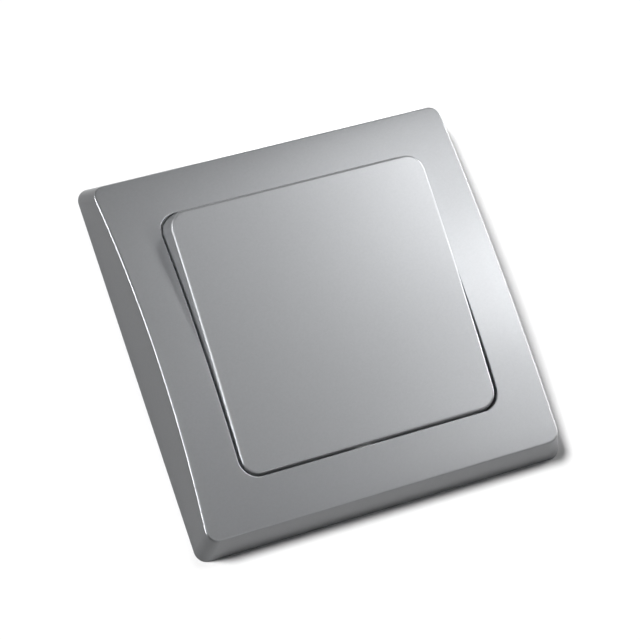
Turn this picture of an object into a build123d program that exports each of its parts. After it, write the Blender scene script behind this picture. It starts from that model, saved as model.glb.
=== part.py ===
from build123d import *
import os
from math import cos, radians, sin, sqrt, tan

# A two-way light switch: an arched cover frame and a tilting rocker on a flush insert.
# It is drawn as it hangs, x to the right, y up the wall and z out of the wall, with the wall at z = 0.
# Each piece is turned as it is written, so that +Z is up and the front looks along -Y.
# Sizes are in millimetres and angles in degrees.

# Clearances
fit_gap = 0.2
moving_gap = 0.3

# Support ring
screw_spacing = 60.0
screw_slot_length = 7.0
screw_slot_width = 3.6
ring_edge = 2.0
ring_thickness = 1.0
ring_corner = 8.0
ring_window_margin = 2.6
ring_window_corner = 3.0
ring_web = 0.9

# Cover frame
frame_overlap = 5.0
frame_depth = 11.0
frame_drop = 4.75
frame_side_lean = 13.5
frame_end_lean = 18.9
frame_corner = 2.7
frame_inner_corner = 0.5
frame_wall = 2.2
frame_ridge_round = 0.5
window_side = 56.9
window_corner = 4.2
window_round = 0.2
collar_wall = 1.6
collar_back = 2.6
rib_thickness = 1.2
rib_offset = 12.0
lug_offset = 20.0
lug_width = 6.0
lug_thickness = 1.6
lug_inset = 0.65
lug_back = 0.3

# Rocker
rocker_tilt = 7.0
pivot_depth = 5.8
rocker_depth = 12.95
rocker_drop = 0.85
rocker_side_gap = 0.55
rocker_skirt_gap = 0.4
rocker_wall = 1.6
rocker_face_wall = 2.0
rocker_edge_round = 0.6
rocker_draft = 1.0
skirt_ring_gap = 0.35
stiffener_offset = 16.0
stiffener_height = 2.0
clip_thickness = 1.4
clip_width = 5.0
clip_offset = 6.5
clip_hook = 0.8
clip_hook_height = 0.9

# Cradle
cradle_width = 25.0
cradle_height = 14.0
cradle_rise = 3.5
cradle_plate = 1.6
cradle_corner = 1.5
hub_radius = 2.6
trunnion_radius = 1.7
bearing_play = 0.08
tube_radius = 3.4
tube_contact_gap = 3.0

# Plunger and its spring
plunger_radius = 2.2
plunger_play = 0.1
plunger_shoulder = 0.9
plunger_tip_radius = 1.3
plunger_tip_play = 0.15
plunger_body = 3.5
spring_room = 5.2
spring_wire = 0.5
spring_turns = 4
spring_side_play = 0.3

# See-saw contact
contact_floor_gap = 10.2
contact_tilt = 7.0
contact_width = 5.0
contact_end = 1.7
contact_thickness = 0.8
contact_vee = 8.0
contact_vee_reach = 3.2
edge_radius = 0.3
edge_play = 0.08
tip_radius = 1.4
tip_dome = 4.0
tip_disc = 0.45
tip_shank = 0.9
tip_head = 1.3
tip_head_height = 0.4
tip_play = 0.02
contact_air = 0.09
fixed_tip_radius = 1.6
fixed_tip_height = 0.58

# Switch base and its cover
base_width = 38.0
base_height = 40.0
base_depth = 22.0
base_wall = 1.8
base_floor = 2.2
base_chamfer = 4.0
base_edge = 0.8
label_width = 9.0
label_height = 20.0
label_depth = 0.3
cover_thickness = 3.0
contact_room = 12.8
partition_wall = 1.2
bar_rest_width = 1.6
post_radius = 2.3
post_inset_x = 3.8
post_inset_y = 3.6
ear_thickness = 2.5
ear_gap = 0.4
ear_radius = 3.2

# Rivets
rivet_radius = 1.0
rivet_play = 0.1
rivet_head_radius = 2.2
rivet_head_height = 0.8
rivet_head_round = 0.5
rivet_length = 13.0

# Terminals and clamps
bar_thickness = 0.8
bar_width = 4.0
bar_post_gap = 1.36
cheek_gap = 0.3
cheek_thickness = 0.6
cheek_height = 3.6
wire_radius = 1.9
wire_edge = 0.1
funnel_flare = 0.8
funnel_depth = 0.8
clamp_wall_length = 6.0
clamp_wall_depth = 6.8
clamp_post_gap = 0.3
leaf_thickness = 0.3
leaf_width = 4.0
leaf_bend = 0.9
leaf_back_gap = 1.3
leaf_front_gap = 0.8
leaf_rise = 2.05
leaf_tongue = 4.6

# Release levers
lever_gap = 0.4
lever_thickness = 2.0
lever_pad_length = 8.0
lever_pad_inset = 0.4
lever_pad_edge = 0.3
lever_proud = 1.0
lever_nose_length = 3.0

# Claws and their screws
claw_gap = 0.3
claw_thickness = 1.2
claw_width = 10.0
claw_offset = 9.0
claw_hook = 1.4
claw_arm = 15.0
claw_tooth_out = 2.9
claw_tooth_drop = 2.4
claw_tooth_count = 3
claw_bend = 0.2
claw_swing = 10.0
claw_slot_gap = 0.4
tab_depth = 4.8
tab_width = 6.4
tab_web = 0.3
tab_edge = 1.5
claw_screw_radius = 1.5
claw_screw_play = 0.2
claw_screw_head_radius = 2.8
claw_screw_head_height = 1.8
claw_screw_length = 9.2
drive_slot = 0.8
drive_depth = 0.9
drive_length = 3.6

# Worked out from the sizes above
ring_side = screw_spacing + screw_slot_length + 2 * ring_edge
frame_side = ring_side + 2 * frame_overlap
ring_front = ring_thickness
cradle_top = pivot_depth + cradle_rise
cradle_plate_back = cradle_top - cradle_plate
ear_inner = cradle_width / 2 + ear_gap
ear_outer = ear_inner + ear_thickness
chamber_x = base_width / 2 - base_wall
chamber_y = base_height / 2 - base_wall
floor_inside = base_floor - base_depth
partition_outer = contact_room / 2 + partition_wall
post_x = chamber_x - post_inset_x
post_y = chamber_y - post_inset_y
contact_pivot = -floor_inside - contact_floor_gap
contact_under = (edge_radius + edge_play) / cos(radians(contact_vee)) - contact_pivot
contact_top = contact_under + contact_thickness
shoulder_top = contact_top + contact_vee_reach * tan(radians(contact_vee))
shoulder_under = shoulder_top - contact_thickness
tube_end = contact_top + tube_contact_gap
plunger_end = contact_top + plunger_tip_play
plunger_tip_centre = plunger_end + plunger_tip_radius
plunger_neck = tube_end - plunger_shoulder
plunger_back = plunger_neck + plunger_body + plunger_shoulder
tube_ceiling = plunger_back + spring_room
tip_dome_height = tip_dome - sqrt(tip_dome**2 - tip_radius**2)
tip_lowest = shoulder_under - tip_disc - tip_dome_height
dome_rise = tip_lowest + tip_dome + contact_pivot
fixed_tip_y = post_y - post_radius - bar_post_gap - bar_width / 2
tip_reach = (fixed_tip_y - dome_rise * sin(radians(contact_tilt))) / cos(radians(contact_tilt))
contact_length = 2 * (tip_reach + contact_end)
closed_rise = dome_rise * cos(radians(contact_tilt)) - tip_reach * sin(radians(contact_tilt))
fixed_tip_top = closed_rise - contact_pivot - tip_dome - contact_air
bar_top = fixed_tip_top - fixed_tip_height
bar_under = bar_top - bar_thickness
clamp_wall_x = chamber_x - bar_thickness
wire_x = clamp_wall_x - wire_edge - wire_radius
wire_y = post_y - post_radius - clamp_post_gap - clamp_wall_length / 2
claw_inner = base_width / 2 + claw_gap
claw_outer = claw_inner + claw_thickness
claw_hinge_x = claw_inner + claw_thickness / 2
claw_hinge_z = ring_thickness / 2
tab_shift = (claw_hinge_z + tab_depth + claw_thickness) * sin(radians(claw_swing))
claw_screw_hole = claw_screw_radius + claw_screw_play
claw_screw_x = claw_outer + tab_web + tab_shift + claw_screw_hole
ring_window = 2 * (claw_inner - claw_slot_gap - ring_web)
lug_y = window_side / 2 + lug_inset
skirt_reach = window_side / 2 - rocker_skirt_gap
rocker_corner = window_corner - rocker_side_gap
skirt_dip = skirt_reach * tan(radians(rocker_tilt))
skirt_drop = pivot_depth - ring_front - skirt_ring_gap
skirt_back = pivot_depth + skirt_dip - skirt_drop / cos(radians(rocker_tilt))


def block(x, y, z):
    """Box between the two ends given for each axis."""
    spans = (x, y, z)
    middle = [(low + high) / 2 for low, high in spans]
    return Pos(*middle) * Box(*[high - low for low, high in spans])


def peg(radius, x, y, z):
    """Round bar along z between two ends."""
    low, high = z
    return Pos(x, y, (low + high) / 2) * Cylinder(radius, high - low)


def axle(radius, z, x):
    """Round bar along x between two ends, at this distance from the wall."""
    low, high = x
    return Pos((low + high) / 2, 0, z) * Rot(0, 90, 0) * Cylinder(radius, high - low)


def plate(outline, back, front):
    """Flat outline drawn on the wall, given its thickness from back to front."""
    return Pos(0, 0, back) * extrude(outline, front - back)


def both_ways(piece):
    """A piece and its copy turned half round about the switch's middle."""
    return piece + Rot(0, 0, 180) * piece


def mirrored(piece, plane):
    """A piece and its mirror image."""
    return piece + mirror(piece, plane)


def four_corners(piece):
    """A piece repeated left and right, above and below."""
    return mirrored(mirrored(piece, Plane.YZ), Plane.XZ)


def arch_radius(half_chord, drop):
    """Radius of an arch that falls by this drop at its ends."""
    return (half_chord**2 + drop**2) / (2 * drop)


def leaning_block(width, height, back, front, side_lean, end_lean):
    """Block whose sides and ends lean inwards towards the front; its size is that at the wall."""

    def section(span, lean):
        low = span / 2 - back * tan(radians(lean))
        high = span / 2 - front * tan(radians(lean))
        return Polygon((-low, back), (low, back), (high, front), (-high, front), align=None)

    across = extrude(Plane.XZ * section(width, side_lean), height, both=True)
    upright = extrude(Plane.YZ * section(height, end_lean), width, both=True)
    return across & upright


def corner_edges(solid):
    """The edges that run from back to front at the four corners."""
    size = solid.bounding_box().size
    return solid.edges().filter_by(
        lambda edge: abs(edge.center().X) > size.X / 4 and abs(edge.center().Y) > size.Y / 4
    )


def front_face(solid):
    """The face nearest to the viewer."""
    return solid.faces().sort_by(Axis.Z)[-1]


def back_face(solid):
    """The face farthest from the viewer."""
    return solid.faces().sort_by(Axis.Z)[0]


def frame_form(inset):
    """The cover frame's outer form, or the same form drawn in by a wall's thickness."""
    arch = arch_radius(frame_side / 2, frame_drop)
    width = frame_side - 2 * inset / cos(radians(frame_side_lean))
    height = frame_side - 2 * inset / cos(radians(frame_end_lean))
    form = leaning_block(width, height, -inset, frame_depth, frame_side_lean, frame_end_lean)
    form = form & axle(arch - inset, frame_depth - arch, (-frame_side, frame_side))
    return fillet(corner_edges(form), max(frame_corner - inset, frame_inner_corner))


def make_cover_frame():
    """Arched square frame: a shell with a collar round its window, ribs and press-in lugs."""
    outer = frame_form(0)
    collar_side = window_side + 2 * collar_wall
    collar_outline = RectangleRounded(collar_side, collar_side, window_corner + collar_wall)
    inside = plate(collar_outline, collar_back, frame_depth)
    rib_start = window_side / 2 + collar_wall / 2
    rib_end = frame_side / 2 - frame_wall / 2
    half_rib = rib_thickness / 2
    rib_y = (rib_offset - half_rib, rib_offset + half_rib)
    rib = block((rib_start, rib_end), rib_y, (ring_front, frame_depth))
    lug_x = (lug_offset - lug_width / 2, lug_offset + lug_width / 2)
    lug = block(lug_x, (lug_y, lug_y + lug_thickness), (lug_back, frame_depth))
    for piece in (rib, Rot(0, 0, 90) * rib, lug):
        inside += four_corners(piece)
    window = plate(RectangleRounded(window_side, window_side, window_corner), -frame_depth, 2 * frame_depth)
    frame = outer - frame_form(frame_wall) + (inside & frame_form(frame_wall / 2)) - window
    frame = fillet(front_face(frame).outer_wire().edges(), frame_ridge_round)
    return fillet(front_face(frame).inner_wires()[0].edges(), window_round)


def rocker_form(inset, face_inset, back):
    """The rocker's outer form: its top and bottom skirts are rolled about the pivot."""
    rise = rocker_depth - rocker_drop - pivot_depth
    arch = arch_radius(sqrt(skirt_reach**2 - rise**2), rocker_drop)
    face_width = window_side - 2 * rocker_side_gap
    width = face_width + 2 * rocker_depth * tan(radians(rocker_draft)) - 2 * inset
    span = (-window_side, window_side)
    form = leaning_block(width, 2 * window_side, back, rocker_depth, rocker_draft, 0)
    form = form & axle(skirt_reach - inset, pivot_depth, span)
    form = form & axle(arch - face_inset, rocker_depth - arch, span)
    return fillet(corner_edges(form), rocker_corner - inset)


def make_rocker():
    """Tilting cap: a thin shell with pads and clip legs for the cradle and stiffeners under its face."""
    outer = rocker_form(0, 0, skirt_back)
    hollow = rocker_form(rocker_wall, rocker_face_wall, skirt_back - rocker_wall)
    half_rib = rib_thickness / 2
    pad_x = (clip_offset - half_rib, clip_offset + half_rib)
    pad = block(pad_x, (0, cradle_height / 2), (cradle_top, rocker_depth))
    clip_x = (clip_offset - clip_width / 2, clip_offset + clip_width / 2)
    clip_inner = cradle_height / 2 + fit_gap
    clip_outer = clip_inner + clip_thickness
    hook_top = cradle_plate_back - fit_gap / 2
    hook_back = hook_top - clip_hook_height
    leg = block(clip_x, (clip_inner, clip_outer), (hook_back, rocker_depth))
    leg += block(clip_x, (clip_inner - fit_gap - clip_hook, clip_outer), (hook_back, hook_top))
    stiffener_x = (0, window_side / 2 - rocker_side_gap)
    stiffener_y = (stiffener_offset - half_rib, stiffener_offset + half_rib)
    stiffener_back = rocker_depth - rocker_face_wall - rocker_drop - stiffener_height
    stiffener = block(stiffener_x, stiffener_y, (stiffener_back, rocker_depth))
    inside = four_corners(pad) + four_corners(leg) + four_corners(stiffener)
    within = rocker_form(rocker_wall / 2, rocker_face_wall / 2, skirt_back)
    rocker = fillet(front_face(outer).edges(), rocker_edge_round)
    return rocker - hollow + (inside & within)


def make_cradle():
    """Pivoting carrier: plate for the rocker, hub with trunnions, and the tube that guides the plunger."""
    half = cradle_width / 2
    outline = RectangleRounded(cradle_width, cradle_height, cradle_corner)
    cradle = plate(outline, cradle_plate_back, cradle_top)
    cradle += axle(hub_radius, pivot_depth, (-half, half))
    cradle += block((-half, half), (-hub_radius, hub_radius), (pivot_depth, cradle_top))
    cradle += axle(trunnion_radius, pivot_depth, (-ear_outer, ear_outer))
    cradle += peg(tube_radius, 0, 0, (tube_end, cradle_top))
    return cradle - peg(plunger_radius + plunger_play, 0, 0, (tube_end - 1, tube_ceiling))


def make_plunger():
    """Round pin with a ball tip, sliding in the cradle's tube."""
    tip_top = plunger_tip_centre
    outline = Line((0, plunger_back), (plunger_radius, plunger_back))
    outline += Line((plunger_radius, plunger_back), (plunger_radius, plunger_neck))
    outline += Line((plunger_radius, plunger_neck), (plunger_tip_radius, tip_top))
    outline += CenterArc((0, tip_top), plunger_tip_radius, -90, 90)
    outline += Line((0, plunger_end), (0, plunger_back))
    return revolve(Plane.XZ * make_face(outline), Axis.Z)


def make_snap_spring():
    """Coil spring between the plunger and the tube's ceiling."""
    wire = spring_wire / 2
    height = spring_room - spring_wire
    coil_radius = plunger_radius - spring_side_play - wire
    path = Helix(height / spring_turns, height, coil_radius)
    section = Plane(origin=path @ 0, z_dir=path % 0) * Circle(wire)
    return Pos(0, 0, plunger_back + wire) * sweep(section, path)


def make_moving_contact():
    """See-saw strip with a shallow V at its middle and a hole for a rivet near each end."""
    end = contact_length / 2
    top = [(-end, shoulder_top), (-contact_vee_reach, shoulder_top), (0, contact_top)]
    top += [(contact_vee_reach, shoulder_top), (end, shoulder_top)]
    under = [(y, z - contact_thickness) for y, z in reversed(top)]
    strip = extrude(Plane.YZ * Polygon(*under, *top, align=None), contact_width / 2, both=True)
    hole = peg(tip_shank + tip_play, 0, tip_reach, (shoulder_under - 1, shoulder_top + 1))
    return strip - mirrored(hole, Plane.XZ)


def make_moving_tips():
    """Two contact rivets with a domed face below the strip and a closed head above it."""
    dome_centre = tip_lowest + tip_dome
    dome = Pos(0, tip_reach, dome_centre) * Sphere(tip_dome)
    face = peg(tip_radius, 0, tip_reach, (tip_lowest, shoulder_under)) & dome
    shank = peg(tip_shank, 0, tip_reach, (shoulder_under, shoulder_top))
    head = peg(tip_head, 0, tip_reach, (shoulder_top, shoulder_top + tip_head_height))
    return mirrored(face + shank + head, Plane.XZ)


def make_fixed_tips():
    """Two flat contact discs on the outgoing bars."""
    disc = peg(fixed_tip_radius, 0, fixed_tip_y, (bar_top, fixed_tip_top))
    return mirrored(disc, Plane.XZ)


def make_common_terminal():
    """Bar with a saddle and a round edge for the see-saw, and the wall that the left wires press on."""
    cheek_inner = contact_width / 2 + cheek_gap
    cheek_outer = cheek_inner + cheek_thickness
    half_bar = bar_width / 2
    half_wall = wire_y + clamp_wall_length / 2
    level = (bar_under, bar_top)
    terminal = block((-clamp_wall_x, cheek_outer), (-half_bar, half_bar), level)
    terminal += block((-clamp_wall_x, -partition_outer), (-half_wall, half_wall), level)
    wall_back = bar_under - clamp_wall_depth
    terminal += block((-chamber_x, -clamp_wall_x), (-half_wall, half_wall), (wall_back, bar_top))
    cheek = block((cheek_inner, cheek_outer), (-half_bar, half_bar), (bar_top, bar_top + cheek_height))
    terminal += mirrored(cheek, Plane.YZ)
    terminal += block((-cheek_outer, cheek_outer), (-edge_radius, edge_radius), (bar_top, -contact_pivot))
    return terminal + axle(edge_radius, -contact_pivot, (-cheek_outer, cheek_outer))


def make_upper_terminal():
    """Bar from the upper contact to the wall that the upper right wire is pressed on."""
    half_wall = clamp_wall_length / 2
    bar_y = (fixed_tip_y - bar_width / 2, fixed_tip_y + bar_width / 2)
    terminal = block((-fixed_tip_radius, clamp_wall_x), bar_y, (bar_under, bar_top))
    wall_y = (wire_y - half_wall, wire_y + half_wall)
    return terminal + block((clamp_wall_x, chamber_x), wall_y, (bar_under - clamp_wall_depth, bar_top))


def leaf_corners():
    """The corners of a right hand clamp spring, from under the bar round to the tongue's end, as x and z."""
    level = bar_under - leaf_thickness / 2
    back = partition_outer + leaf_back_gap
    tongue_end = (clamp_wall_x - moving_gap - leaf_thickness / 2, bar_under - leaf_tongue)
    return [(clamp_wall_x - leaf_front_gap, level), (back, level), (back, level - leaf_rise), tongue_end]


def make_right_springs():
    """Two bent leaf springs, one at each right hand wire entry."""
    points = [(x, wire_y, z) for x, z in leaf_corners()]
    path = FilletPolyline(*points, radius=leaf_bend)
    section = Plane(origin=path @ 0, x_dir=(0, 1, 0), z_dir=path % 0) * Rectangle(leaf_width, leaf_thickness)
    return mirrored(sweep(section, path), Plane.XZ)


def make_right_lever():
    """Release lever: a pad that shows at the back, a cross bar and a nose under each clamp spring."""
    inner = partition_outer + lever_gap
    outer = wire_x - wire_radius - lever_gap
    half_bar = post_y - post_radius - moving_gap
    bar_front = floor_inside + lever_thickness
    lever = block((inner, outer), (-half_bar, half_bar), (floor_inside, bar_front))
    pad_x = (inner + lever_pad_inset, outer - lever_pad_inset)
    pad_y = (-lever_pad_length / 2, lever_pad_length / 2)
    pad = block(pad_x, pad_y, (-base_depth - lever_proud, floor_inside))
    lever += chamfer(back_face(pad).edges(), lever_pad_edge)
    _, _, bend, tongue_end = leaf_corners()
    nose_outer = outer - lever_pad_inset
    slope = (tongue_end[1] - bend[1]) / (tongue_end[0] - bend[0])
    tongue_level = bend[1] + slope * (nose_outer - bend[0])
    nose_y = (wire_y - lever_nose_length / 2, wire_y + lever_nose_length / 2)
    nose_inner = (inner + nose_outer) / 2
    nose = block((nose_inner, nose_outer), nose_y, (bar_front, tongue_level - leaf_thickness - moving_gap))
    return lever + mirrored(nose, Plane.XZ)


def base_outline(inset):
    """The base's outline with cut corners, drawn in evenly by this much."""
    outline = Rectangle(base_width - 2 * inset, base_height - 2 * inset)
    return chamfer(outline.vertices(), base_chamfer - inset * (2 - sqrt(2)))


def make_switch_base():
    """Open moulded box: a chamber for the contacts between two for the clamps, posts, and rear openings."""
    base = plate(base_outline(0), -base_depth, 0)
    base = chamfer(back_face(base).edges(), base_edge) - plate(base_outline(base_wall), floor_inside, 1)
    inside_top = -cover_thickness
    partition_x = (contact_room / 2, partition_outer)
    partition = block(partition_x, (-chamber_y - fit_gap, chamber_y + fit_gap), (floor_inside, inside_top))
    base += mirrored(partition, Plane.YZ)
    base += four_corners(peg(post_radius, post_x, post_y, (floor_inside, inside_top)))
    half_rest = bar_rest_width / 2
    rest_y = fixed_tip_y + bar_width / 2
    base += block((-half_rest, half_rest), (-rest_y, rest_y), (floor_inside, bar_under))
    notch_half = bar_width / 2 + fit_gap
    notch_z = (bar_under, inside_top + 1)
    base -= block((-partition_outer - 1, -contact_room / 2 + 1), (-notch_half, notch_half), notch_z)
    notch_y = (fixed_tip_y - notch_half, fixed_tip_y + notch_half)
    base -= mirrored(block((contact_room / 2 - 1, partition_outer + 1), notch_y, notch_z), Plane.XZ)
    base -= four_corners(peg(wire_radius, wire_x, wire_y, (-base_depth - 1, floor_inside + 1)))
    funnel = Cone(wire_radius + funnel_flare, wire_radius, funnel_depth)
    base -= four_corners(Pos(wire_x, wire_y, funnel_depth / 2 - base_depth) * funnel)
    label = Rectangle(label_width, label_height)
    base -= plate(label, -base_depth - 1, label_depth - base_depth)
    pad_x = (partition_outer + lever_pad_inset, wire_x - wire_radius - lever_gap)
    pad_y = lever_pad_length / 2 + moving_gap
    base -= mirrored(block(pad_x, (-pad_y, pad_y), (-base_depth - 1, floor_inside + 1)), Plane.YZ)
    rivet_hole = peg(rivet_radius + rivet_play, post_x, post_y, (ring_front - rivet_length - fit_gap, 0))
    return base - four_corners(rivet_hole)


def make_base_cover():
    """Front plate of the base with two bearing ears and a slot for the swinging tube."""
    cover = plate(base_outline(base_wall + fit_gap), -cover_thickness, 0)
    ear = block((ear_inner, ear_outer), (-ear_radius, ear_radius), (-cover_thickness, pivot_depth))
    ear += axle(ear_radius, pivot_depth, (ear_inner, ear_outer))
    cover += mirrored(ear, Plane.YZ)
    tube_swing = (pivot_depth + cover_thickness) * tan(radians(rocker_tilt))
    slot_x = tube_radius + ear_gap
    slot_y = tube_radius / cos(radians(rocker_tilt)) + tube_swing + ear_gap
    cover -= block((-slot_x, slot_x), (-slot_y, slot_y), (-cover_thickness - 1, 1))
    cover -= axle(trunnion_radius + bearing_play, pivot_depth, (-ear_outer - 1, ear_outer + 1))
    return cover - four_corners(peg(rivet_radius + rivet_play, post_x, post_y, (-cover_thickness - 1, 1)))


def make_base_rivets():
    """Four rivets that hold the ring, the cover and the base together."""
    rivet = peg(rivet_radius, post_x, post_y, (ring_front - rivet_length, ring_front))
    head = peg(rivet_head_radius, post_x, post_y, (ring_front, ring_front + rivet_head_height))
    rivet += fillet(front_face(head).edges(), rivet_head_round)
    return four_corners(rivet)


def make_support_ring():
    """Steel plate on the wall, with a window, slots for the box's screws and openings for claws and lugs."""
    ring = plate(RectangleRounded(ring_side, ring_side, ring_corner), 0, ring_thickness)
    window_height = cradle_height + 2 * (clip_thickness + ring_window_margin)
    cut = (-1, ring_thickness + 1)
    ring -= plate(RectangleRounded(ring_window, window_height, ring_window_corner), *cut)
    slot = Pos(screw_spacing / 2, 0, 0) * plate(SlotOverall(screw_slot_length, screw_slot_width), *cut)
    ring -= both_ways(slot) + both_ways(Rot(0, 0, 90) * slot)
    lug_x = (lug_offset - lug_width / 2 - moving_gap, lug_offset + lug_width / 2 + moving_gap)
    ring -= four_corners(block(lug_x, (lug_y - moving_gap, lug_y + lug_thickness + moving_gap), cut))
    half_claw = claw_width / 2 + claw_slot_gap
    claw_y = (-claw_offset - half_claw, -claw_offset + half_claw)
    ring -= both_ways(block((claw_inner - claw_slot_gap, claw_outer + claw_slot_gap), claw_y, cut))
    ring -= both_ways(peg(claw_screw_hole, claw_screw_x, -claw_offset, cut))
    return ring - four_corners(peg(rivet_radius + rivet_play, post_x, post_y, cut))


def make_right_claw():
    """Sheet claw: hooked over the ring, with a lanced tab for its screw and bent teeth at its end."""
    hook_front = ring_front + claw_thickness
    bend_drop = claw_thickness * claw_tooth_out / (2 * claw_tooth_drop)
    inner = [(claw_inner, hook_front), (claw_inner, -claw_arm)]
    tooth = [(claw_inner + claw_tooth_out, -claw_arm - claw_tooth_drop)]
    tooth += [(claw_outer + claw_tooth_out - claw_gap, -claw_arm - claw_tooth_drop + claw_thickness)]
    outer = [(claw_outer, bend_drop - claw_arm), (claw_outer, ring_front)]
    hook = [(claw_outer + claw_hook, ring_front), (claw_outer + claw_hook, hook_front)]
    side_view = Polygon(*inner, *tooth, *outer, *hook, align=None)
    for outside, corner in ((True, inner[0]), (True, inner[1]), (False, outer[0]), (False, outer[1])):
        bend = side_view.vertices().sort_by_distance((*corner, 0))[0]
        side_view = fillet(bend, claw_bend + claw_thickness if outside else claw_bend)
    claw = extrude(Plane.XZ * side_view, claw_width / 2, both=True)
    head_room = claw_screw_head_radius + moving_gap
    claw -= block((claw_outer, claw_outer + claw_hook), (-head_room, head_room), (ring_front, hook_front))
    tab_front = -tab_depth
    tab_back = tab_front - claw_thickness
    tab_end = claw_screw_x + claw_screw_hole + tab_edge
    half_tab = tab_width / 2
    claw -= block((0, tab_end), (-half_tab, half_tab), (tab_back - (tab_end - claw_outer), tab_back))
    tab = block((claw_inner, tab_end), (-half_tab, half_tab), (tab_back, tab_front))
    slot = SlotCenterToCenter(tab_shift, 2 * claw_screw_hole)
    tab -= Pos(claw_screw_x - tab_shift / 2, 0, 0) * plate(slot, tab_back - 1, tab_front + 1)
    claw += tab
    pitch = claw_width / claw_tooth_count
    notch = Polygon((0, -pitch / 4), (claw_thickness, 0), (0, pitch / 4), align=None)
    tooth_end = claw_outer + claw_tooth_out - claw_gap
    for gap in range(1, claw_tooth_count):
        place = Pos(tooth_end, gap * pitch - claw_width / 2, 0) * Rot(0, 0, 180)
        claw -= place * plate(notch, -claw_arm - claw_tooth_drop - 1, -claw_arm)
    return Pos(0, -claw_offset, 0) * claw


def make_right_claw_screw():
    """Pan head screw with a cross drive."""
    head_front = ring_front + claw_screw_head_height
    screw = peg(claw_screw_radius, 0, 0, (ring_front - claw_screw_length, ring_front))
    head = peg(claw_screw_head_radius, 0, 0, (ring_front, head_front))
    screw += fillet(front_face(head).edges(), claw_screw_head_height / 2)
    arm = block(
        (-drive_length / 2, drive_length / 2),
        (-drive_slot / 2, drive_slot / 2),
        (head_front - drive_depth, head_front + 1),
    )
    screw -= arm + Rot(0, 0, 90) * arm
    return Pos(claw_screw_x, -claw_offset, 0) * screw


def tilted(piece):
    """A piece of the rocker's group at its rest, with the rocker's upper edge out."""
    return Pos(0, 0, pivot_depth) * Rot(rocker_tilt, 0, 0) * Pos(0, 0, -pivot_depth) * piece


def swung(piece):
    """A piece of the see-saw at its rest, with its upper end pressed in."""
    return Pos(0, 0, -contact_pivot) * Rot(-contact_tilt, 0, 0) * Pos(0, 0, contact_pivot) * piece


upper_terminal = make_upper_terminal()
right_springs = make_right_springs()
right_lever = make_right_lever()
right_claw = make_right_claw()
right_claw_screw = make_right_claw_screw()

pieces = {
    "cover_frame": make_cover_frame(),
    "rocker": tilted(make_rocker()),
    "cradle": tilted(make_cradle()),
    "snap_plunger": tilted(make_plunger()),
    "snap_spring": tilted(make_snap_spring()),
    "moving_contact": swung(make_moving_contact()),
    "moving_contact_tips": swung(make_moving_tips()),
    "fixed_contact_tips": make_fixed_tips(),
    "common_terminal": make_common_terminal(),
    "upper_terminal": upper_terminal,
    "lower_terminal": mirror(upper_terminal, Plane.XZ),
    "right_clamp_springs": right_springs,
    "left_clamp_springs": mirror(right_springs, Plane.YZ),
    "right_release_lever": right_lever,
    "left_release_lever": mirror(right_lever, Plane.YZ),
    "switch_base": make_switch_base(),
    "base_cover": make_base_cover(),
    "base_rivets": make_base_rivets(),
    "support_ring": make_support_ring(),
    "right_claw": right_claw,
    "left_claw": Rot(0, 0, 180) * right_claw,
    "right_claw_screw": right_claw_screw,
    "left_claw_screw": Rot(0, 0, 180) * right_claw_screw,
}

on_the_wall = Plane(origin=(0, 0, 0), x_dir=(1, 0, 0), z_dir=(0, -1, 0))
os.makedirs("parts", exist_ok=True)
for name, piece in pieces.items():
    export_step(on_the_wall.location * piece, f"parts/{name}.step")
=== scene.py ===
import math
from typing import NamedTuple

import bpy
from mathutils import Matrix, Vector


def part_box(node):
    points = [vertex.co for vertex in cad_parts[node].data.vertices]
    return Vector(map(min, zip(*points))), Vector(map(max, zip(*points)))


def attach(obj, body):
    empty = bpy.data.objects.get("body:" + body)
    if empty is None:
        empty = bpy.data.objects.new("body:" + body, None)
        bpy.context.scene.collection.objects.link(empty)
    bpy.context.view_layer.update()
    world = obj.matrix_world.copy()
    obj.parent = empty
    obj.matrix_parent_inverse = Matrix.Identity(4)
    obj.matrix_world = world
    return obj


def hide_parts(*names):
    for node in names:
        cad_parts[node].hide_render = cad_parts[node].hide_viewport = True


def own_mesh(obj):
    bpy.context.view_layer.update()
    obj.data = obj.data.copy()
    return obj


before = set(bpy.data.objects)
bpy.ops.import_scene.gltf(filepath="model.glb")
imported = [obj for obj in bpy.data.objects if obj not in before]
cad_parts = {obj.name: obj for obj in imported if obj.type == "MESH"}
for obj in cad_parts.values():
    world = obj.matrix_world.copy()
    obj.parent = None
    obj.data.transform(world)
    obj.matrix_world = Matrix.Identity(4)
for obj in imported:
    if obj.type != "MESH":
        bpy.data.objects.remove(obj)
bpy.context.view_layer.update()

bl_info = {
    "name": "Two-way light switch",
    "version": (1, 0, 0),
    "blender": (4, 5, 0),
    "location": "View3D > Sidebar > Light switch",
    "description": "Finishes and detail for a flush two-way rocker light switch",
    "category": "Object",
}

MM = 0.001
WHITE = (1.0, 1.0, 1.0, 1.0)
QUARTER_TURN = math.pi / 2

screw_low, screw_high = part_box("right_claw_screw")
screw_head_radius = (screw_high.x - screw_low.x) / 2


# Settings that a user would change


def length(name, description, default):
    """A size in metres that shows as a length in the panel."""
    return bpy.props.FloatProperty(
        name=name, description=description, default=default, unit="LENGTH", precision=5
    )


def angle(name, description, degrees):
    """An angle that is given in degrees here and kept in radians."""
    return bpy.props.FloatProperty(
        name=name, description=description, default=math.radians(degrees), subtype="ANGLE"
    )


def colour(name, description, default):
    """A colour that shows as a swatch in the panel."""
    return bpy.props.FloatVectorProperty(
        name=name, description=description, default=default, size=3, subtype="COLOR", min=0.0, max=1.0
    )


def share(name, description, default):
    """A number from 0 to 1."""
    return bpy.props.FloatProperty(
        name=name, description=description, default=default, min=0.0, max=1.0, subtype="FACTOR"
    )


def number(name, description, default, unit="NONE"):
    """A plain number."""
    return bpy.props.FloatProperty(name=name, description=description, default=default, unit=unit)


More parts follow.
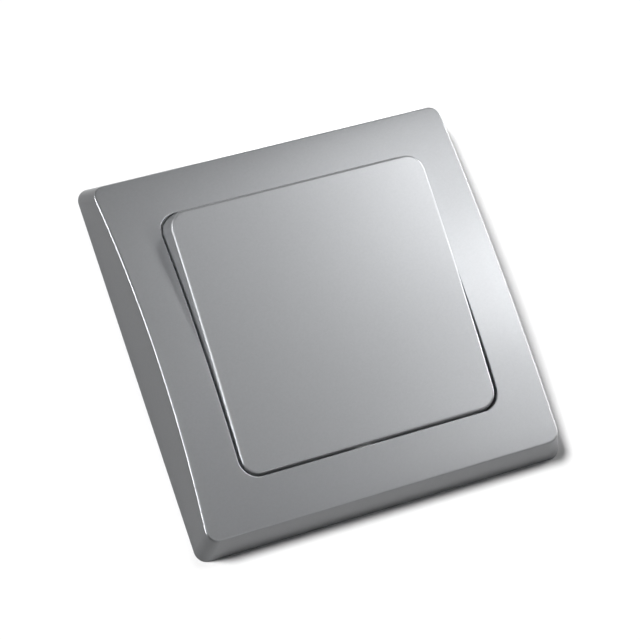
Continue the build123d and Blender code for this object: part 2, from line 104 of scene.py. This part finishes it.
class SwitchFinish(bpy.types.PropertyGroup):
    """Colours and surface of the switch's pieces."""

    lacquer: colour("Silver lacquer", "Colour of the frame and the rocker", (0.412, 0.421, 0.436))
    lacquer_metal: share("Lacquer metal", "How much the lacquer mirrors like metal", 0.25)
    lacquer_rough: share("Lacquer roughness", "How satin the lacquer is", 0.29)
    flake: length("Flake", "Size of the lacquer's metal flakes", 0.3 * MM)
    base_grey: colour("Base", "Colour of the moulded base and its cover", (0.72, 0.72, 0.70))
    cradle_white: colour("Cradle", "Colour of the cradle and the plunger", (0.85, 0.85, 0.83))
    lever_grey: colour("Levers", "Colour of the release levers", (0.16, 0.17, 0.19))
    zinc: colour("Zinc", "Colour of the plated ring, claws, rivets and screws", (0.62, 0.63, 0.64))
    spring: colour("Spring steel", "Colour of the springs", (0.45, 0.46, 0.48))
    alloy: colour("Copper alloy", "Colour of the terminals and the see-saw", (0.72, 0.43, 0.25))
    contact: colour("Contacts", "Colour of the contact tips", (0.82, 0.81, 0.78))


class SwitchScrews(bpy.types.PropertyGroup):
    """The claw screws."""

    thread: length("Thread", "Radius of the thread's crest", 1.5 * MM)
    pitch: length("Pitch", "Distance from one turn to the next", 0.5 * MM)
    groove: length("Groove", "Depth of the thread's groove", 0.25 * MM)
    head: length("Head", "Radius of the pan head", screw_head_radius)
    head_height: length("Head height", "Height of the pan head", 1.8 * MM)
    rim: length("Rim", "Height of the head's straight rim", 0.7 * MM)
    drive: length("Drive", "Length of the cross drive's arms, end to end", 3.4 * MM)
    drive_width: length("Drive width", "Width of the cross drive's arms", 0.75 * MM)
    drive_depth: length("Drive depth", "Depth of the cross drive", 1.0 * MM)


class SwitchGrip(bpy.types.PropertyGroup):
    """The ribs on the release levers' pads."""

    ribs: bpy.props.IntProperty(name="Ribs", description="How many ribs a pad has", default=7, min=1)
    spacing: length("Spacing", "Distance from one rib to the next", 1.0 * MM)
    rib: length("Rib", "Radius of a rib", 0.22 * MM)
    rib_length: length("Rib length", "Length of a rib", 2.5 * MM)


class SwitchStage(bpy.types.PropertyGroup):
    """Wall, light and camera."""

    wall_side: length("Wall", "Side of the pale wall", 4.0)
    wall_gap: length("Wall gap", "Gap between the wall and the frame's rim", 0.02 * MM)
    wall_tone: colour("Wall tone", "Colour of the pale wall", (0.88, 0.88, 0.88))
    wall_light: number("Wall light", "Strength of the light on the wall", 3.57)
    wall_softness: angle("Wall softness", "How wide the light on the wall is", 14.0)
    room: share("Room", "Grey of the room behind the camera", 0.22)
    lens: number("Lens", "Focal length in mm", 131.771, unit="CAMERA")
    eye_azimuth: angle("Eye azimuth", "How far to the switch's right the camera stands", -18.5648)
    eye_elevation: angle("Eye elevation", "How far above the switch the camera stands", -12.6019)
    eye_distance: length("Eye distance", "How far from the switch the camera stands", 484.023 * MM)
    pan: angle("Pan", "How far to the right the camera looks", 18.6134)
    tilt: angle("Tilt", "How far upwards the camera looks", 12.7242)
    roll: angle("Roll", "How far the camera is turned about its line of sight", -19.3643)


def values_of(settings):
    """The values of a property group, by their names."""
    return {key: getattr(settings, key) for key in type(settings).__annotations__}


# Shader groups that the finishes share

# Sockets of a Mix node that is set to colours
MIX_FIRST = 6
MIX_SECOND = 7
MIX_RESULT = 2


class Net:
    """A node tree, with short calls to add nodes and join their sockets."""

    def __init__(self, tree):
        self.tree = tree

    def add(self, kind, settings=None, **sockets):
        """A new node, with its settings and the values or links of its sockets."""
        node = self.tree.nodes.new(kind)
        for key, value in (settings or {}).items():
            setattr(node, key, value)
        for key, value in sockets.items():
            self.put(value, node.inputs[key.replace("_", " ")])
        return node

    def put(self, value, socket):
        """Links a socket to this socket, or sets its value."""
        if isinstance(value, bpy.types.NodeSocket):
            self.tree.links.new(value, socket)
        else:
            socket.default_value = value

    def math(self, operation, first, second):
        """The result of a sum on two numbers."""
        node = self.add("ShaderNodeMath", {"operation": operation})
        self.put(first, node.inputs[0])
        self.put(second, node.inputs[1])
        return node.outputs[0]

    def noise(self, place, scale, detail):
        """Noise from 0 to 1."""
        return self.add("ShaderNodeTexNoise", Vector=place, Scale=scale, Detail=detail).outputs["Fac"]

    def swing(self, value, reach=0.5):
        """A value from 0 to 1 as one that swings about 0."""
        node = self.add("ShaderNodeMapRange", Value=value)
        node.inputs["To Min"].default_value = -reach
        node.inputs["To Max"].default_value = reach
        return node.outputs["Result"]

    def varied(self, middle, swing, amount):
        """A number that changes by this amount of a swing."""
        return self.math("ADD", middle, self.math("MULTIPLY", swing, amount))

    def shaded(self, tone, swing, contrast):
        """A colour made lighter and darker by a swing."""
        gain = self.varied(1.0, swing, contrast)
        shade = self.add("ShaderNodeCombineColor", Red=gain, Green=gain, Blue=gain).outputs["Color"]
        mixing = {"data_type": "RGBA", "blend_type": "MULTIPLY", "clamp_result": True}
        node = self.add("ShaderNodeMix", mixing, Factor=1.0)
        self.put(tone, node.inputs[MIX_FIRST])
        self.put(shade, node.inputs[MIX_SECOND])
        return node.outputs[MIX_RESULT]


def surface_group(name, inputs, fill):
    """A shader group with a colour and these numbers as inputs; it puts out colour, roughness and height."""
    tree = bpy.data.node_groups.new(name, "ShaderNodeTree")
    tree.interface.new_socket("Color", in_out="INPUT", socket_type="NodeSocketColor")
    for label, default in inputs.items():
        socket = tree.interface.new_socket(label, in_out="INPUT", socket_type="NodeSocketFloat")
        socket.default_value = default
    tree.interface.new_socket("Color", in_out="OUTPUT", socket_type="NodeSocketColor")
    tree.interface.new_socket("Roughness", in_out="OUTPUT", socket_type="NodeSocketFloat")
    tree.interface.new_socket("Height", in_out="OUTPUT", socket_type="NodeSocketFloat")
    net = Net(tree)
    given = net.add("NodeGroupInput").outputs
    result = net.add("NodeGroupOutput")
    place = net.add("ShaderNodeTexCoord").outputs["Object"]
    for key, value in fill(net, given, place).items():
        net.put(value, result.inputs[key])
    return tree


def flake_surface(net, given, place):
    """Metal flakes under a satin lacquer, with a faint orange peel."""
    cells = net.add("ShaderNodeTexVoronoi", Vector=place, Scale=given["Flakes per metre"])
    spark = net.add("ShaderNodeSeparateColor", Color=cells.outputs["Color"]).outputs["Red"]
    peel = net.noise(place, given["Peels per metre"], detail=2.0)
    cloud = net.swing(net.noise(place, given["Clouds per metre"], detail=3.0))
    light = net.varied(net.swing(spark), cloud, given["Cloud share"])
    return {
        "Color": net.shaded(given["Color"], light, given["Flake contrast"]),
        "Roughness": net.varied(given["Roughness"], cloud, given["Roughness change"]),
        "Height": peel,
    }


def grain_surface(net, given, place):
    """Fine eroded grain of a moulded plastic, with slow changes of tone."""
    fine = net.noise(place, given["Grains per metre"], detail=3.0)
    slow = net.swing(net.noise(place, given["Changes per metre"], detail=2.0))
    light = net.math("ADD", net.swing(fine), slow)
    return {
        "Color": net.shaded(given["Color"], light, given["Tone change"]),
        "Roughness": net.varied(given["Roughness"], slow, given["Roughness change"]),
        "Height": fine,
    }


def rolled_surface(net, given, place):
    """Sheet metal: rolling lines along one way, and the soft mottle of its plating or tarnish."""
    along, across = given["Lines per metre along"], given["Lines per metre across"]
    scale = net.add("ShaderNodeCombineXYZ", X=along, Y=across, Z=across).outputs[0]
    stretched = net.add("ShaderNodeMapping", Vector=place, Scale=scale).outputs["Vector"]
    lines = net.noise(stretched, 1.0, detail=3.0)
    mottle = net.noise(place, given["Mottle per metre"], detail=4.0)
    light = net.math("ADD", net.swing(lines), net.swing(mottle, reach=1.0))
    return {
        "Color": net.shaded(given["Color"], light, given["Tone change"]),
        "Roughness": net.varied(given["Roughness"], net.swing(mottle), given["Roughness change"]),
        "Height": lines,
    }


# group: what fills it, its inputs with their values
GROUPS = {
    "lacquer_flake": (flake_surface, {
        "Roughness": 0.29,
        "Roughness change": 0.02,
        "Flakes per metre": 3300.0,
        "Flake contrast": 0.04,
        "Peels per metre": 900.0,
        "Clouds per metre": 45.0,
        "Cloud share": 0.5,
    }),
    "moulded_grain": (grain_surface, {
        "Roughness": 0.5,
        "Roughness change": 0.15,
        "Grains per metre": 2600.0,
        "Changes per metre": 60.0,
        "Tone change": 0.05,
    }),
    "rolled_sheet": (rolled_surface, {
        "Roughness": 0.35,
        "Roughness change": 0.2,
        "Lines per metre along": 40.0,
        "Lines per metre across": 1400.0,
        "Mottle per metre": 260.0,
        "Tone change": 0.12,
    }),
}

LACQUER_RELIEF = 0.004 * MM
LACQUER_GLOSS = 0.2
PLASTIC_RELIEF = 0.02 * MM
METAL_RELIEF = 0.006 * MM

# plastic: setting that holds its colour, roughness
PLASTICS = {
    "moulded_base_grey": ("base_grey", 0.5),
    "moulded_white": ("cradle_white", 0.42),
    "moulded_dark_grey": ("lever_grey", 0.45),
}
# metal: setting that holds its colour, roughness
METALS = {
    "plated_zinc": ("zinc", 0.38),
    "bright_spring": ("spring", 0.28),
    "bare_alloy": ("alloy", 0.3),
    "contact_metal": ("contact", 0.25),
}


def finish_material(name, group, tone, metal, relief, gloss=0.5, **values):
    """A material for one finish, made from a shared group; relief is its bump height in metres."""
    made = bpy.data.materials.get(name)
    if made:
        return made
    made = bpy.data.materials.new(name)
    made.use_nodes = True
    net = Net(made.node_tree)
    shader = made.node_tree.nodes["Principled BSDF"]
    tree = bpy.data.node_groups.get(group)
    if tree is None:
        fill, inputs = GROUPS[group]
        tree = surface_group(group, inputs, fill)
    node = net.add("ShaderNodeGroup", {"node_tree": tree}, Color=(*tone, 1.0), **values)
    bump = net.add("ShaderNodeBump", Height=node.outputs["Height"], Distance=relief, Strength=1.0)
    net.put(node.outputs["Color"], shader.inputs["Base Color"])
    net.put(node.outputs["Roughness"], shader.inputs["Roughness"])
    net.put(bump.outputs["Normal"], shader.inputs["Normal"])
    shader.inputs["Metallic"].default_value = metal
    shader.inputs["Specular IOR Level"].default_value = gloss
    made.diffuse_color = (*tone, 1.0)
    return made


def lacquer():
    """The frame's and the rocker's satin silver."""
    look = bpy.context.scene.switch_finish
    return finish_material(
        "satin_silver_lacquer",
        "lacquer_flake",
        look.lacquer,
        look.lacquer_metal,
        LACQUER_RELIEF,
        gloss=LACQUER_GLOSS,
        Roughness=look.lacquer_rough,
        Flakes_per_metre=1.0 / look.flake,
    )


def plastic(name):
    """One of the moulded plastics."""
    tone, rough = PLASTICS[name]
    tone = getattr(bpy.context.scene.switch_finish, tone)
    return finish_material(name, "moulded_grain", tone, 0.0, PLASTIC_RELIEF, Roughness=rough)


def sheet_metal(name):
    """One of the metals."""
    tone, rough = METALS[name]
    tone = getattr(bpy.context.scene.switch_finish, tone)
    return finish_material(name, "rolled_sheet", tone, 1.0, METAL_RELIEF, Roughness=rough)


def dress(material, *names):
    """Gives CAD nodes this material."""
    for name in names:
        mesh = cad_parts[name].data
        mesh.materials.clear()
        mesh.materials.append(material)


# Geometry Nodes

SHARP_ANGLE = math.radians(35)
SHANK_SIDES = 32
THREAD_STEPS = 24
THREAD_CORNERS = 4
HEAD_SIDES = 64
DOME_RINGS = 96
RIB_SIDES = 20


def piece_tree(name, inputs):
    """A Geometry Nodes tree with these named inputs, and the sockets that they give inside it."""
    tree = bpy.data.node_groups.new(name, "GeometryNodeTree")
    for label, kind in inputs.items():
        tree.interface.new_socket(label, in_out="INPUT", socket_type=kind)
    tree.interface.new_socket("Material", in_out="INPUT", socket_type="NodeSocketMaterial")
    tree.interface.new_socket("Geometry", in_out="OUTPUT", socket_type="NodeSocketGeometry")
    net = Net(tree)
    return net, net.add("NodeGroupInput").outputs


def end_tree(net, given, geometry):
    """Closes a tree with real geometry and its material."""
    real = net.add("GeometryNodeRealizeInstances", Geometry=geometry)
    dressed = net.add("GeometryNodeSetMaterial", Geometry=real.outputs[0], Material=given["Material"])
    net.put(dressed.outputs[0], net.add("NodeGroupOutput").inputs["Geometry"])
    return net.tree


def grow(name, tree, **values):
    """A plain mesh object from a tree and the values of its inputs."""
    made = bpy.data.objects.new(name, bpy.data.meshes.new(f"{name}_start"))
    bpy.context.scene.collection.objects.link(made)
    maker = made.modifiers.new("maker", "NODES")
    maker.node_group = tree
    for socket in tree.interface.items_tree:
        if socket.in_out == "INPUT":
            maker[socket.identifier] = values[socket.name.replace(" ", "_").lower()]
    mesh = bpy.data.meshes.new_from_object(made.evaluated_get(bpy.context.evaluated_depsgraph_get()))
    made.modifiers.remove(maker)
    made.data = mesh
    mesh.name = name
    mesh.shade_smooth()
    mesh.set_sharp_from_angle(angle=SHARP_ANGLE)
    return made


def screw_tree():
    """Pan head screw along +Y with its head's seat at Place: shank, thread, domed head and cross drive."""
    sizes = ["Length", "Thread", "Pitch", "Groove", "Head", "Head height", "Rim"]
    sizes += ["Drive", "Drive width", "Drive depth"]
    inputs = dict.fromkeys(sizes, "NodeSocketFloat") | {"Place": "NodeSocketVector"}
    net, given = piece_tree("threaded_screw", inputs)

    def vector(x, y, z):
        return net.add("ShaderNodeCombineXYZ", X=x, Y=y, Z=z).outputs[0]

    def moved(geometry, z, turn=(0.0, 0.0, 0.0)):
        place = vector(0.0, 0.0, z)
        node = net.add("GeometryNodeTransform", Geometry=geometry, Translation=place, Rotation=turn)
        return node.outputs[0]

    def rod(radius, depth, sides):
        node = net.add("GeometryNodeMeshCylinder", Vertices=sides, Radius=radius, Depth=depth)
        return node.outputs["Mesh"]

    def combined(operation):
        return net.add("GeometryNodeMeshBoolean", {"operation": operation, "solver": "MANIFOLD"})

    core = net.math("SUBTRACT", given["Thread"], given["Groove"])
    half = net.math("MULTIPLY", given["Length"], -0.5)
    shank = moved(rod(core, given["Length"], SHANK_SIDES), half)
    cut_length = net.math("SUBTRACT", given["Length"], given["Pitch"])
    turns = net.math("DIVIDE", cut_length, given["Pitch"])
    spiral = net.add(
        "GeometryNodeCurveSpiral",
        Resolution=THREAD_STEPS,
        Rotations=turns,
        Height=cut_length,
        Start_Radius=core,
        End_Radius=core,
    )
    upright = net.add("GeometryNodeSetCurveNormal", {"mode": "Z_UP"}, Curve=spiral.outputs[0])
    edge = net.add("GeometryNodeCurvePrimitiveCircle", Resolution=THREAD_CORNERS, Radius=given["Groove"])
    ridge = net.add(
        "GeometryNodeCurveToMesh",
        Curve=upright.outputs[0],
        Profile_Curve=edge.outputs["Curve"],
        Fill_Caps=True,
    )
    half_pitch = net.math("MULTIPLY", given["Pitch"], 0.5)
    thread = moved(ridge.outputs[0], net.math("SUBTRACT", half_pitch, given["Length"]))

    half_head = net.math("MULTIPLY", given["Head height"], 0.5)
    head = moved(rod(given["Head"], given["Head height"], HEAD_SIDES), half_head)
    rise = net.math("SUBTRACT", given["Head height"], given["Rim"])
    squares = net.math("ADD", net.math("POWER", given["Head"], 2.0), net.math("POWER", rise, 2.0))
    dome_radius = net.math("DIVIDE", squares, net.math("MULTIPLY", rise, 2.0))
    ball = net.add("GeometryNodeMeshUVSphere", Segments=HEAD_SIDES, Rings=DOME_RINGS, Radius=dome_radius)
    dome = moved(ball.outputs["Mesh"], net.math("SUBTRACT", given["Head height"], dome_radius))
    domed = combined("INTERSECT")
    net.put(head, domed.inputs["Mesh 2"])
    net.put(dome, domed.inputs["Mesh 2"])
    deep = net.math("MULTIPLY", given["Drive depth"], 2.0)
    arm_size = vector(given["Drive"], given["Drive width"], deep)
    arm = net.add("GeometryNodeMeshCube", Size=arm_size).outputs["Mesh"]
    recessed = combined("DIFFERENCE")
    net.put(domed.outputs["Mesh"], recessed.inputs["Mesh 1"])
    net.put(moved(arm, given["Head height"]), recessed.inputs["Mesh 2"])
    net.put(moved(arm, given["Head height"], (0.0, 0.0, QUARTER_TURN)), recessed.inputs["Mesh 2"])

    whole = net.add("GeometryNodeJoinGeometry")
    for part in (shank, thread, recessed.outputs["Mesh"]):
        net.put(part, whole.inputs["Geometry"])
    placed = net.add("GeometryNodeTransform", Geometry=whole.outputs[0], Translation=given["Place"])
    placed.inputs["Rotation"].default_value = (QUARTER_TURN, 0.0, 0.0)
    return end_tree(net, given, placed.outputs[0])


def rib_tree():
    """A row of half sunk round ribs across a pad, one above the other."""
    inputs = {"Ribs": "NodeSocketInt", "Spacing": "NodeSocketFloat", "Rib": "NodeSocketFloat"}
    inputs |= {"Rib length": "NodeSocketFloat", "Place": "NodeSocketVector"}
    net, given = piece_tree("pad_ribs", inputs)
    step = net.add("ShaderNodeCombineXYZ", Z=given["Spacing"]).outputs[0]
    spaces = net.math("SUBTRACT", given["Ribs"], 1.0)
    half = net.math("MULTIPLY", net.math("MULTIPLY", spaces, given["Spacing"]), -0.5)
    lowest = net.add("ShaderNodeVectorMath", {"operation": "ADD"})
    net.put(given["Place"], lowest.inputs[0])
    net.put(net.add("ShaderNodeCombineXYZ", Z=half).outputs[0], lowest.inputs[1])
    row = net.add(
        "GeometryNodeMeshLine", Count=given["Ribs"], Start_Location=lowest.outputs[0], Offset=step
    )
    bar = net.add(
        "GeometryNodeMeshCylinder", Vertices=RIB_SIDES, Radius=given["Rib"], Depth=given["Rib length"]
    )
    across = net.add("GeometryNodeTransform", Geometry=bar.outputs["Mesh"])
    across.inputs["Rotation"].default_value = (0.0, QUARTER_TURN, 0.0)
    copies = net.add(
        "GeometryNodeInstanceOnPoints", Points=row.outputs["Mesh"], Instance=across.outputs[0]
    )
    return end_tree(net, given, copies.outputs[0])


# Pieces


class SWITCH_OT_cover(bpy.types.Operator):
    """Gives the cover frame and the rocker their satin silver lacquer"""

    bl_idname = "switch.cover"
    bl_label = "Cover frame and rocker"

    def execute(self, context):
        dress(lacquer(), "cover_frame", "rocker")
        return {"FINISHED"}


class SWITCH_OT_mouldings(bpy.types.Operator):
    """Gives the moulded pieces of the insert their plastics"""

    bl_idname = "switch.mouldings"
    bl_label = "Insert mouldings"

    def execute(self, context):
        dress(plastic("moulded_base_grey"), "switch_base", "base_cover")
        dress(plastic("moulded_white"), "cradle", "snap_plunger")
        dress(plastic("moulded_dark_grey"), "left_release_lever", "right_release_lever")
        return {"FINISHED"}


class SWITCH_OT_metalwork(bpy.types.Operator):
    """Gives the ring, claws, rivets, springs, terminals and contacts their metals"""

    bl_idname = "switch.metalwork"
    bl_label = "Ring, claws, terminals and springs"

    def execute(self, context):
        dress(sheet_metal("plated_zinc"), "support_ring", "left_claw", "right_claw", "base_rivets")
        dress(sheet_metal("bright_spring"), "snap_spring", "left_clamp_springs", "right_clamp_springs")
        alloy = sheet_metal("bare_alloy")
        dress(alloy, "common_terminal", "upper_terminal", "lower_terminal", "moving_contact")
        dress(sheet_metal("contact_metal"), "moving_contact_tips", "fixed_contact_tips")
        return {"FINISHED"}


class SWITCH_OT_screws(bpy.types.Operator):
    """Makes the two threaded claw screws in place of the plain ones"""

    bl_idname = "switch.screws"
    bl_label = "Claw screws"

    def execute(self, context):
        sizes = context.scene.switch_screws
        zinc = sheet_metal("plated_zinc")
        tree = screw_tree()
        for side in ("left", "right"):
            node = f"{side}_claw_screw"
            low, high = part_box(node)
            seat = low.y + sizes.head_height
            piece = grow(
                f"{side}_threaded_screw",
                tree,
                length=high.y - seat,
                place=((low.x + high.x) / 2, seat, (low.z + high.z) / 2),
                material=zinc,
                **values_of(sizes),
            )
            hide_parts(node)
            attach(piece, node)
        return {"FINISHED"}


class SWITCH_OT_grips(bpy.types.Operator):
    """Makes the finger ribs on the pads of the release levers"""

    bl_idname = "switch.grips"
    bl_label = "Lever grips"

    def execute(self, context):
        dark = plastic("moulded_dark_grey")
        tree = rib_tree()
        for side in ("left", "right"):
            low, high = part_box(f"{side}_release_lever")
            piece = grow(
                f"{side}_lever_ribs",
                tree,
                place=((low.x + high.x) / 2, high.y, 0.0),
                material=dark,
                **values_of(context.scene.switch_grip),
            )
            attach(piece, f"{side}_lever")
        return {"FINISHED"}


# made spring: CAD spring, body that carries it, joint that presses it, CAD node that presses it
SPRINGS = {
    "snap_coil": ("snap_spring", "rocker", "plunger_slide", "snap_plunger"),
    "left_clamp_leaves": ("left_clamp_springs", "insert", "left_lever_press", "left_release_lever"),
    "right_clamp_leaves": ("right_clamp_springs", "insert", "right_lever_press", "right_release_lever"),
}


class SWITCH_OT_springs(bpy.types.Operator):
    """Puts copies of the stiff springs in their places, each carried by its body, and hides the stiff ones
    """

    bl_idname = "switch.springs"
    bl_label = "Springs"

    def execute(self, context):
        for name, (node, body, joint, pusher) in SPRINGS.items():
            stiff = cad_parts[node]
            piece = bpy.data.objects.new(name, stiff.data.copy())
            piece.matrix_world = stiff.matrix_world
            context.scene.collection.objects.link(piece)
            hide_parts(node)
            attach(piece, body)
            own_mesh(piece)
        return {"FINISHED"}


# Wall, light and camera

NEAREST_SEEN = 10 * MM


class Lamp(NamedTuple):
    """A soft lamp that faces the switch: its place in degrees and metres, its size in metres, its watts,
    what it gives (all, gloss or soft), what it lights and what casts no shadow in its light."""

    azimuth: float
    elevation: float
    distance: float
    width: float
    height: float
    watts: float
    gives: str = "all"
    lights: str = "switch"
    spares: str | None = None


class Wash(NamedTuple):
    """An even light on the wall: where it comes from, in degrees, and its share of the wall's light."""

    azimuth: float
    elevation: float
    share: float


LAMPS = {
    "strip_low": Lamp(30, -10, 0.60, 0.126, 0.212, 0.54),
    "strip_mid": Lamp(30, 10, 0.60, 0.126, 0.212, 1.08, lights="all_but_frame"),
    "strip_frame": Lamp(30, 10, 0.60, 0.126, 0.212, 1.06, lights="cover_frame", spares="rocker"),
    "strip_high": Lamp(30, 30, 0.60, 0.126, 0.212, 0.53),
    "right_edge": Lamp(68, 10, 0.60, 0.56, 0.53, 4.0, gives="gloss"),
    "rocker_edge": Lamp(68, 10, 0.60, 0.56, 0.53, 3.0, gives="gloss", lights="rocker"),
    "right_ridge": Lamp(88, 8, 0.50, 0.16, 0.60, 6.0, gives="gloss", lights="front"),
    "left_ridge": Lamp(-80, 13, 0.50, 0.20, 0.60, 8.0, gives="gloss", lights="cover_frame"),
    "left_edge": Lamp(-60, 13, 0.50, 0.20, 0.60, 4.4, gives="gloss", lights="rocker"),
    "skirt_fill": Lamp(-80, 8, 0.50, 0.20, 0.30, 1.2, gives="soft", lights="rocker"),
    "low_ridge": Lamp(15, -52, 0.60, 0.30, 0.20, 0.6, gives="gloss", lights="front"),
    "front_sheen": Lamp(-24, -4, 0.60, 0.39, 0.44, 1.2, gives="gloss", lights="front"),
    "rear_high": Lamp(145, 30, 0.70, 0.40, 0.40, 1.7, spares="wall"),
    "rear_low": Lamp(166, -6, 0.62, 0.20, 0.20, 0.8, spares="wall"),
}
WASHES = {"wash_left": Wash(-28.0, 25.5, 0.88), "wash_right": Wash(22.0, 26.0, 0.14)}


def wall_material(stage):
    """Pale wall that keeps the shadow and can be looked through from behind."""
    made = bpy.data.materials.new("pale_wall")
    made.use_nodes = True
    net = Net(made.node_tree)
    nodes = made.node_tree.nodes
    nodes.remove(nodes["Principled BSDF"])
    matt = net.add("ShaderNodeBsdfDiffuse", Color=(*stage.wall_tone, 1.0))
    facing = net.add("ShaderNodeNewGeometry")
    clear = net.add("ShaderNodeBsdfTransparent")
    mix = net.add("ShaderNodeMixShader", Fac=facing.outputs["Backfacing"])
    net.put(matt.outputs[0], mix.inputs[1])
    net.put(clear.outputs[0], mix.inputs[2])
    net.put(mix.outputs[0], nodes["Material Output"].inputs["Surface"])
    return made


def make_wall(stage):
    """Upright wall just behind the frame's rim, facing the front."""
    half = stage.wall_side / 2
    back = stage.wall_gap
    mesh = bpy.data.meshes.new("wall")
    corners = [(-half, back, -half), (half, back, -half), (half, back, half), (-half, back, half)]
    mesh.from_pydata(corners, [], [(0, 1, 2, 3)])
    mesh.materials.append(wall_material(stage))
    wall = bpy.data.objects.new("wall", mesh)
    wall.visible_diffuse = False
    bpy.context.scene.collection.objects.link(wall)
    return wall


def spot(azimuth, elevation, distance=1.0):
    """A place seen from the switch; azimuth 0 is straight ahead of it and a quarter turn is to its right."""
    level = distance * math.cos(elevation)
    return Vector((level * math.sin(azimuth), -level * math.cos(azimuth), distance * math.sin(elevation)))


def linked(name, state, *pieces):
    """A collection for light linking, which holds only these pieces, or all but these."""
    group = bpy.data.collections.new(name)
    for index, piece in enumerate(pieces):
        group.objects.link(piece)
        group.collection_objects[index].light_linking.link_state = state
    return group


def add_lamp(name, kind, place, power, lit):
    """A lamp that faces the switch and lights one collection."""
    data = bpy.data.lights.new(name, kind)
    data.energy = power
    lamp = bpy.data.objects.new(name, data)
    lamp.location = place
    lamp.rotation_euler = (-place).to_track_quat("-Z", "Y").to_euler()
    lamp.visible_camera = False
    lamp.light_linking.receiver_collection = lit
    bpy.context.scene.collection.objects.link(lamp)
    return lamp


def make_lamps(stage, wall):
    """Soft lamps for the switch, which leave the wall alone, and an even light on the wall alone."""
    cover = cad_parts["cover_frame"]
    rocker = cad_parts["rocker"]
    lit = {
        "switch": linked("all_but_wall", "EXCLUDE", wall),
        "all_but_frame": linked("all_but_wall_and_frame", "EXCLUDE", wall, cover),
        "front": linked("frame_and_rocker", "INCLUDE", cover, rocker),
        "cover_frame": linked("frame_alone", "INCLUDE", cover),
        "rocker": linked("rocker_alone", "INCLUDE", rocker),
    }
    casting = {None: None, "wall": lit["switch"], "rocker": linked("all_but_rocker", "EXCLUDE", rocker)}
    for name, plan in LAMPS.items():
        place = spot(math.radians(plan.azimuth), math.radians(plan.elevation), plan.distance)
        lamp = add_lamp(name, "AREA", place, plan.watts, lit[plan.lights])
        lamp.light_linking.blocker_collection = casting[plan.spares]
        lamp.data.shape = "RECTANGLE"
        lamp.data.size = plan.width
        lamp.data.size_y = plan.height
        lamp.visible_diffuse = plan.gives != "gloss"
        lamp.visible_glossy = plan.gives != "soft"
    wall_only = linked("wall_alone", "INCLUDE", wall)
    for name, plan in WASHES.items():
        way = spot(math.radians(plan.azimuth), math.radians(plan.elevation))
        wash = add_lamp(name, "SUN", way, stage.wall_light * plan.share / -way.y, wall_only)
        wash.data.angle = stage.wall_softness


def make_camera(stage):
    """The camera where the photograph was taken from, turned as it was."""
    data = bpy.data.cameras.new("camera")
    data.lens = stage.lens
    data.clip_start = NEAREST_SEEN
    camera = bpy.data.objects.new("camera", data)
    place = Matrix.Translation(spot(stage.eye_azimuth, stage.eye_elevation, stage.eye_distance))
    panned = Matrix.Rotation(-stage.pan, 4, "Z")
    tilted = Matrix.Rotation(QUARTER_TURN + stage.tilt, 4, "X")
    rolled = Matrix.Rotation(stage.roll, 4, "Z")
    camera.matrix_world = place @ panned @ tilted @ rolled
    bpy.context.scene.collection.objects.link(camera)
    bpy.context.scene.camera = camera


def make_world(stage):
    """An even grey room that is seen and mirrored, and lights nothing by itself."""
    world = bpy.data.worlds.new("studio")
    world.use_nodes = True
    net = Net(world.node_tree)
    path = net.add("ShaderNodeLightPath").outputs
    mirrored = net.math("MAXIMUM", path["Is Glossy Ray"], path["Is Transmission Ray"])
    seen = net.math("MAXIMUM", path["Is Camera Ray"], mirrored)
    back = world.node_tree.nodes["Background"]
    back.inputs["Color"].default_value = WHITE
    net.put(net.math("MULTIPLY", seen, stage.room), back.inputs["Strength"])
    bpy.context.scene.world = world


class SWITCH_OT_stage(bpy.types.Operator):
    """Makes the pale wall, the lamps and the camera"""

    bl_idname = "switch.stage"
    bl_label = "Wall, light and camera"

    def execute(self, context):
        stage = context.scene.switch_stage
        make_lamps(stage, make_wall(stage))
        make_camera(stage)
        make_world(stage)
        context.scene.view_settings.view_transform = "Standard"
        return {"FINISHED"}


# Panel and registration

OPERATORS = (
    SWITCH_OT_cover,
    SWITCH_OT_mouldings,
    SWITCH_OT_metalwork,
    SWITCH_OT_screws,
    SWITCH_OT_grips,
    SWITCH_OT_springs,
    SWITCH_OT_stage,
)
SETTINGS = {
    "switch_finish": SwitchFinish,
    "switch_screws": SwitchScrews,
    "switch_grip": SwitchGrip,
    "switch_stage": SwitchStage,
}


class SWITCH_PT_panel(bpy.types.Panel):
    """Lists the switch's pieces and settings"""

    bl_idname = "SWITCH_PT_panel"
    bl_label = "Two-way light switch"
    bl_space_type = "VIEW_3D"
    bl_region_type = "UI"
    bl_category = "Light switch"

    def draw(self, context):
        for operator in OPERATORS:
            self.layout.operator(operator.bl_idname)
        for key, group in SETTINGS.items():
            for setting in group.__annotations__:
                self.layout.prop(getattr(context.scene, key), setting)


CLASSES = (*SETTINGS.values(), *OPERATORS, SWITCH_PT_panel)


def register():
    """Adds the classes, and the settings to each scene."""
    for each in CLASSES:
        bpy.utils.register_class(each)
    for key, group in SETTINGS.items():
        setattr(bpy.types.Scene, key, bpy.props.PointerProperty(type=group))


def unregister():
    """Takes the settings and the classes away again."""
    for key in SETTINGS:
        delattr(bpy.types.Scene, key)
    for each in reversed(CLASSES):
        bpy.utils.unregister_class(each)


def main():
    """Makes the whole switch and its stage."""
    register()
    bpy.ops.switch.cover()
    bpy.ops.switch.mouldings()
    bpy.ops.switch.metalwork()
    bpy.ops.switch.screws()
    bpy.ops.switch.grips()
    bpy.ops.switch.springs()
    bpy.ops.switch.stage()


if __name__ == "__main__":
    main()
